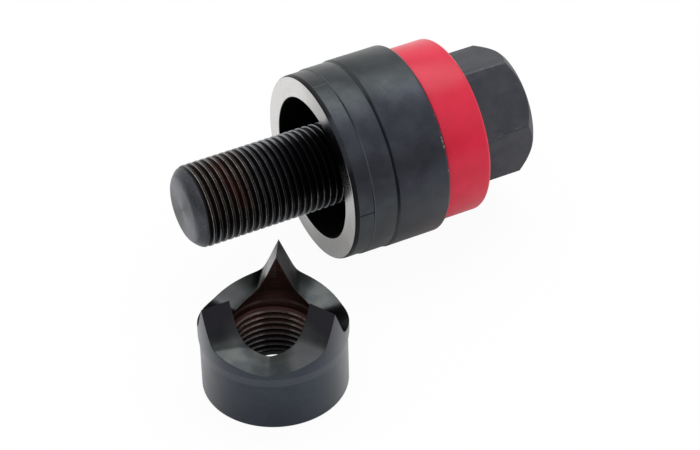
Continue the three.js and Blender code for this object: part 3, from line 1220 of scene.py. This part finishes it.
@dataclass(frozen=True)
class Punch:
    """The punch: three ground teeth round a threaded bore.

    Places are heights above its foot. A painted patch of light or shade on its crown lies between two
    angles and two radii, and covers a share of the steel.
    """

    lathe: Lathe
    skin: BlackOxide
    thread: Thread = Thread(
        pitch=1.5875, crest_radius=9.58, root_radius=8.76, crest_flat=0.2, crest_round=0.04
    )
    land: float = 16.24
    body: float = 15.92
    teeth: int = 3
    tooth_height: float = 25.6
    flank_slope: float = 67
    valley: float = 14.85
    valley_rise: float = 3.5
    valley_soft: float = 0.1
    outer_fillet: float = 0.9
    inner_fillet: float = 1.35
    land_start: float = 14.0
    relief_start: float = 11.65
    counterbore: float = 9.776
    thread_top: float = 12.3
    thread_start: float = -1.36
    tap_spare: float = 0.3
    tap_cut: float = 0.15
    foot_edge: float = 0.5
    edge_break: float = 0.09
    steps: int = 360
    rows: int = 14
    # Tone of the painted light patches on the crown, and the painted light and painted shade patches
    # themselves.
    painted_light_tone: Colour = (0.115, 0.118, 0.126)
    painted_light_patches: tuple[PaintedPatch, ...] = (
        (-96, -78, 11, 18, 0.55),
        (-166, -160, 9, 11, 0.24),
        (100, 114, 12, 18, 0.5),
    )
    painted_shade_patches: tuple[PaintedPatch, ...] = (
        (33, 47, 14, 18, 0.5),
        (75, 85, 9, 15, 0.5),
        (-145, -98, 8, 11, 0.35),
        (-20, -8, 14, 18, 0.4),
    )

    def crown(self, radius: float, angle: float) -> float:
        """Height of the crown.

        Args:
            radius: Distance from the punch's line.
            angle: Angle from a tooth, in radians.

        Returns:
            The height. Straight flanks fall from each tooth's ridge and run through a fillet,
            wider at the bore, into a valley that dips to the middle between two teeth.
        """
        step = FULL_TURN / self.teeth
        away = abs(angle - step * round(angle / step))
        slope = math.tan(math.radians(self.flank_slope))
        flank = self.tooth_height - slope * radius * math.sin(away)
        from_middle = math.hypot(1 - away / (step / 2), self.valley_soft) - self.valley_soft
        valley = self.valley + self.valley_rise * from_middle
        share = (radius - self.counterbore) / (self.land - self.counterbore)
        fillet = self.inner_fillet + (self.outer_fillet - self.inner_fillet) * share
        return (flank + valley) / 2 + math.hypot((flank - valley) / 2, fillet)

    def section(self) -> Profile:
        """The blank's section, with the crown's rows level at the teeth's height."""
        top = self.tooth_height
        edge = self.edge_break
        inner, outer = self.counterbore + edge, self.land - edge
        bore = self.thread.root_radius - self.tap_cut
        return [
            (bore, 0),
            *quarter_round((self.body - self.foot_edge, self.foot_edge), self.foot_edge, -90, 5),
            (self.body, self.relief_start),
            (self.land, self.land_start),
            (self.land, top - edge),
            *[(outer + (inner - outer) * row / self.rows, top) for row in range(self.rows + 1)],
            (self.counterbore, top - edge),
            (self.counterbore, self.thread_top + 0.1),
            (bore, self.thread_top),
        ]

    def build(self) -> Piece:
        """Turns the blank, grinds its crown, taps its bore and dresses it."""
        punch = self.lathe.ring("punch_crowned", self.section(), self.steps)
        self.grind(punch)
        tap_end = self.thread_top + self.tap_spare
        join(punch, self.thread.rod("tap", self.lathe, self.thread_start, tap_end), Join.CUT)
        return dress(punch, self.finish(), sharp_above=24)

    def grind(self, punch: Piece) -> None:
        """Moves the crown's level rows to their height."""
        across = self.lathe.along.cross(self.lathe.out)
        mesh = bmesh.new()
        mesh.from_mesh(punch.data)
        for vertex in mesh.verts:
            local = vertex.co - self.lathe.zero
            if local.dot(self.lathe.along) > (self.tooth_height - 1) * MM:
                first, second = local.dot(self.lathe.out), local.dot(across)
                height = self.crown(math.hypot(first, second) / MM, math.atan2(second, first))
                vertex.co += self.lathe.along * (height - self.tooth_height) * MM
        mesh.to_mesh(punch.data)
        mesh.free()

    def finish(self) -> Material:
        """Black oxide with a finely ground crown that carries painted light and shade, and a brown
        bore that is painted darker further down and at the far wall as shade.
        """
        graph = Finish("punch_black_oxide", Coat_Roughness=0.3)
        where = TurnedPlace.of(graph, self.lathe)
        vector, along, radius, angle = where
        degrees = angle * math.degrees(1)
        clouds = graph.noise(vector, 0.25, 4)
        specks = graph.noise(vector, 3.0, 3, 0.7)

        # The places of the punch
        bore = radius.falls(self.counterbore - 0.01, self.counterbore + 0.05)
        wall = along.rises(self.thread_top, self.thread_top + 0.1)
        depth = along.rises(self.thread_top - 9, self.thread_top - 1)
        root = self.thread.root_radius
        crest = bore * (1 - wall) * radius.falls(root + 0.03, root + 0.14)
        ledge = bore * along.within(13.8, 14.1, 0.3)
        land = along.rises(self.land_start - 0.3, self.land_start)
        cone = along.within(self.relief_start + 0.2, self.land_start - 0.2, 0.2)
        cone = cone * radius.rises(self.body - 0.5, self.body - 0.3)
        crown = along.rises(self.land_start + 0.4, self.land_start + 0.9)
        crown = crown * radius.falls(self.land - 0.06, self.land - 0.02)
        steep = crown * along.rises(19.6, 21.2)

        # The bore
        back = math.radians(FAR_TOOTH)
        # Painted shade: the crests on the bore's far wall are painted darker.
        painted_shade_band = angle.within(back - 0.22, back + 0.3, 0.2)
        coarse = graph.noise((along * 2.4, 0.0, angle * 0.6), 1.0).rises(0.35, 0.65)
        # Painted shade: the bore is painted darker further down.
        brown = graph.mix(depth, (0.005, 0.004, 0.004), (0.028, 0.011, 0.009))
        brown_wall = graph.mix(coarse, (0.034, 0.013, 0.010), (0.075, 0.030, 0.024))
        # Crests bare from wear, painted bright as glints near the top, and darker further down as
        # painted shade.
        worn_glint_and_shade = graph.mix(depth, (0.32, 0.305, 0.30), (0.80, 0.64, 0.58))
        worn_glint_and_shade = graph.mix(painted_shade_band * 0.75, worn_glint_and_shade, (0.03, 0.026, 0.024))
        # Crests bare from wear, and a faint band of painted highlight round the counterbore's wall at
        # a height of about 14.
        wear_and_glint = (crest * specks.rises(0.2, 0.6)).most(ledge * 0.16)
        brown = graph.coats(brown, (wall, brown_wall), (wear_and_glint, worn_glint_and_shade))

        # The ground crown
        # Painted highlight: one flank of the far tooth, from its ridge round to about 73 degrees and
        # above a height of about 20, is painted light grey.
        painted_flank_highlight = degrees.rises(FAR_TOOTH - 0.1, FAR_TOOTH + 0.3) * degrees.falls(72, 75)
        painted_flank_highlight = painted_flank_highlight * along.rises(19.4, 21.4)
        ground = graph.mix(clouds.rises(0.35, 0.65), (0.035, 0.039, 0.042), (0.052, 0.056, 0.054))
        # Painted shade: the steep flanks of the teeth are painted darker than the valleys.
        painted_steep_shade = graph.mix(specks, (0.020, 0.019, 0.023), (0.046, 0.044, 0.052))
        ground = graph.mix(steep, ground, painted_steep_shade)
        # Painted light and painted shade: patches of the crown are painted lighter or darker, as the
        # flanks catch or miss the light.
        for tone_patches, tone, round_soft, out_soft in (
            (self.painted_light_patches, self.painted_light_tone, 10, 2.4),
            (self.painted_shade_patches, BLACK, 9, 2),
        ):
            for low, high, inner, outer, share in tone_patches:
                painted_patch = degrees.within(low, high, round_soft) * radius.within(inner, outer, out_soft)
                ground = graph.mix(painted_patch * share, ground, tone)
        # The far tooth's painted highlight.
        ground = graph.mix(painted_flank_highlight, ground, (0.36, 0.36, 0.37))

        colour = graph.coats(
            self.skin.colour(graph, vector),
            (land * 0.12, BLACK),
            (crown, ground),
            (cone * 0.45, (0.062, 0.070, 0.080)),
            (bore, brown),
        )
        gloss = self.skin.gloss(graph, vector) - 0.14 * crown + 0.1 * steep
        turned = graph.noise((along * 9, radius, angle), 0.7)
        strokes = graph.noise((angle * 60, radius * 0.7, 0.0), 0.8)
        return graph.made(
            colour,
            gloss,
            turned * (1 - crown) * (1 + bore) + strokes * crown * 0.4,
            0.006,
            Metallic=1 - 0.2 * bore * (1 - crest),
            Coat_Weight=0.5 * (1 - bore) * (1 - crown),
        )


# Studio


@dataclass(frozen=True)
class Camera:
    """The photograph's camera, from the fit of the pieces' outlines.

    Right and down are directions in its picture. What it sees lies between two distances, in
    metres.
    """

    place: Place = (-212.38, -423.41, 395.09)
    right: Place = (0.88869, -0.45819, -0.01721)
    down: Place = (-0.29849, -0.54965, -0.78025)
    lens: float = 140.06
    sensor: float = 36
    sight: Point = (0.01, 20)

    def build(self) -> None:
        """Creates the camera and makes it the scene's."""
        place = Vector(self.place) * MM
        camera = added("photo_camera", bpy.ops.object.camera_add, location=place)
        right = Vector(self.right).normalized()
        up = -Vector(self.down)
        up = (up - right * up.dot(right)).normalized()
        turn = Matrix((right, up, right.cross(up))).transposed().to_4x4()
        camera.matrix_world = Matrix.Translation(place) @ turn
        camera.data.sensor_fit = "HORIZONTAL"
        camera.data.sensor_width = self.sensor
        camera.data.lens = self.lens
        camera.data.clip_start, camera.data.clip_end = self.sight
        bpy.context.scene.camera = camera


@dataclass(frozen=True)
class Studio:
    """A white floor, a white room with a dim horizon at the front left, and a soft box.

    Attributes:
        floor_size: Side of the floor, in metres.
        floor_colour: Colour of the floor.
        dim_side: Level direction towards the middle of the dim horizon.
        dim_spread: How far a direction leans to that side where the dimness starts and is full.
        dim_height: Height of a direction where the dimness starts to fade and has gone.
        dim_strength: Strength of the room at the dim horizon, where 1 is white.
        camera_share: Share of the floor's own white that the camera sees. The rest is lit, and
            so keeps the set's shadow.
        mirror_share: The same share in reflections.
        shade_radius: Distance from the punch's line past which its foot shades the floor.
        shade_reach: Distance to which the foot shades it.
        shade_height: Height below which a piece over the floor counts as standing there, in
            metres.
        shaded_colour: Colour of the floor where the foot shades it.
        lamp_azimuth: Where the soft box stands round the set, from +X to +Y.
        lamp_elevation: How high it stands, as an angle.
        lamp_distance: How far it stands, in metres.
        lamp_size: Its width and height in metres.
        lamp_radiance: How bright its surface is.
    """

    floor_size: float = 8.0
    floor_colour: Colour = (0.85, 0.85, 0.85)
    dim_side: Point = (-0.7, -0.7)
    dim_spread: Point = (0.0, 0.35)
    dim_height: Point = (0.05, 0.7)
    dim_strength: float = 0.3
    camera_share: float = 0.95
    mirror_share: float = 0.12
    shade_radius: float = 7.7
    shade_reach: float = 12
    shade_height: float = 0.02
    shaded_colour: Colour = (0.06, 0.06, 0.06)
    lamp_azimuth: float = 45
    lamp_elevation: float = 66
    lamp_distance: float = 1.2
    lamp_size: Point = (0.9, 0.7)
    lamp_radiance: float = 2.2

    def build(self) -> None:
        """Sets up the colours, the room, the floor and the soft box."""
        bpy.context.scene.view_settings.view_transform = "Standard"
        self.room()
        self.floor()
        self.lamp()

    def room(self) -> None:
        """A world that is white to the camera, and white but for its dim horizon to the set."""
        world = bpy.data.worlds.new("white_room")
        bpy.context.scene.world = world
        world.use_nodes = True
        graph = Graph(world.node_tree)
        x, y, z = graph.split(graph.node("ShaderNodeTexCoord", {}, {}).outputs["Generated"])
        side = x * self.dim_side[0] + y * self.dim_side[1]
        dim = side.rises(*self.dim_spread) * z.falls(*self.dim_height)
        seen = Signal(graph, graph.node("ShaderNodeLightPath", {}, {}).outputs["Is Camera Ray"])
        strength = seen.most(1 - (1 - self.dim_strength) * dim)
        light = graph.node("ShaderNodeBackground", {}, {"Color": (1, 1, 1), "Strength": strength})
        graph.tree.links.new(light.outputs[0], graph.tree.nodes["World Output"].inputs["Surface"])

    def floor(self) -> None:
        """A floor that is white to the camera and in reflections, and keeps the set's shadow."""
        plane = bpy.ops.mesh.primitive_plane_add
        floor = added("floor", plane, size=self.floor_size, location=(0, 0, 0))
        material = bpy.data.materials.new("white_floor")
        material.use_nodes = True
        material.node_tree.nodes.clear()
        graph = Graph(material.node_tree)
        low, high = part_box("punch")
        x, y, _ = graph.split(graph.place(((low.x + high.x) / 2, (low.y + high.y) / 2, 0)))
        under_foot = x.length_with(y).within(self.shade_radius + 0.1, self.shade_reach, 0.1)
        open_sky = graph.signal("ShaderNodeAmbientOcclusion", {}, {"Distance": self.shade_height})
        shaded = under_foot * open_sky.falls(0.5, 0.9)
        rays = graph.node("ShaderNodeLightPath", {}, {}).outputs
        camera, glossy, through = (
            Signal(graph, rays[kind])
            for kind in ("Is Camera Ray", "Is Glossy Ray", "Is Transmission Ray")
        )
        share = (self.camera_share * camera).most(self.mirror_share * glossy.most(through))
        matt_colour = graph.mix(shaded, self.floor_colour, self.shaded_colour)
        matt = graph.node("ShaderNodeBsdfDiffuse", {}, {"Color": matt_colour}).outputs[0]
        glow = graph.node("ShaderNodeEmission", {}, {}).outputs[0]
        inputs = {0: share * (1 - shaded), 1: matt, 2: glow}
        mixed = graph.node("ShaderNodeMixShader", {}, inputs).outputs[0]
        graph.node("ShaderNodeOutputMaterial", {}, {"Surface": mixed})
        floor.data.materials.append(material)

    def lamp(self) -> None:
        """A soft box that looks at the set."""
        azimuth, elevation = math.radians(self.lamp_azimuth), math.radians(self.lamp_elevation)
        level = Vector((math.cos(azimuth), math.sin(azimuth), 0)) * math.cos(elevation)
        direction = level + Vector((0, 0, math.sin(elevation)))
        place = direction * self.lamp_distance
        lamp = added("overhead_box", bpy.ops.object.light_add, type="AREA", location=place)
        lamp.rotation_euler = direction.to_track_quat("Z", "Y").to_euler()
        lamp.data.shape = "RECTANGLE"
        lamp.data.size, lamp.data.size_y = self.lamp_size
        lamp.data.energy = self.lamp_radiance * math.pi * math.prod(self.lamp_size)


# The whole set


@dataclass(frozen=True)
class KnockoutSet:
    """The pieces of the set, each on its body and in place of its solid.

    Attributes:
        lying: The line of the die, the stud and the bearing, from the die's cutting face.
        standing: The line of the punch, from its foot.
        skin: The black oxide of the die and the stud.
        coated: The bluer black oxide of the punch.
    """

    lying: Lathe
    standing: Lathe
    skin: BlackOxide = BlackOxide()
    coated: BlackOxide = BlackOxide(tone=(0.026, 0.035, 0.053), warm_tone=(0.029, 0.039, 0.052))

    @classmethod
    def from_frame(cls) -> KnockoutSet:
        """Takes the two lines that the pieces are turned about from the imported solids."""
        low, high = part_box("die")
        face = Vector((low.x, (low.y + high.y) / 2, (low.z + high.z) / 2))
        low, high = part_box("punch")
        foot = Vector(((low.x + high.x) / 2, (low.y + high.y) / 2, 0))
        tooth = math.radians(FAR_TOOTH)
        far = Vector((math.cos(tooth), math.sin(tooth), 0))
        x, z = Vector((1, 0, 0)), Vector((0, 0, 1))
        return cls(Lathe(face, x, z), Lathe(foot, z, far))

    def build(self) -> None:
        """Builds the pieces in order and places each on its body."""
        bearing = ThrustBearing(self.lying)
        self.place(Die(self.lying, self.skin).build(), "die", Body.DIE, Slot.BLACK_OXIDE)
        stud = DrawStud(self.lying, self.skin).build()
        self.place(stud, "draw_stud", Body.STUD, Slot.BLACK_OXIDE)
        punch = Punch(self.standing, self.coated).build()
        self.place(punch, "punch", Body.PUNCH, Slot.BLACK_OXIDE)
        self.place(bearing.build_cover(), "bearing_cover", Body.BEARING, Slot.RED_COVER)
        housing, shaft = bearing.build_washers()
        self.place(housing, "housing_washer", Body.BEARING, Slot.BEARING_STEEL)
        self.place(shaft, "shaft_washer", Body.STUD, Slot.BEARING_STEEL)
        self.place(bearing.build_cage(), "ball_cage", Body.CAGE, Slot.CAGE_BRASS)
        for number, ball in enumerate(bearing.build_balls(), start=1):
            self.place(ball, f"bearing_ball_{number:02d}", Body.CAGE, Slot.BEARING_STEEL)

    def place(self, piece: Piece, node: str, body: Body, slot: Slot) -> None:
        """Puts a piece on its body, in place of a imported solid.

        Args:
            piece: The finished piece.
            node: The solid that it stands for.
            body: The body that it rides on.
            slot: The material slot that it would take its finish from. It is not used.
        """
        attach(piece, body.value)
        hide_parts(node)
        LOG.info("%s stands for %s: %d faces", piece.name, node, len(piece.data.polygons))


def main() -> None:
    """Builds the camera, the studio and the set."""
    logging.basicConfig(level=logging.INFO, format="%(name)s: %(message)s")
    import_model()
    Camera().build()
    Studio().build()
    KnockoutSet.from_frame().build()


if __name__ == "__main__":
    main()
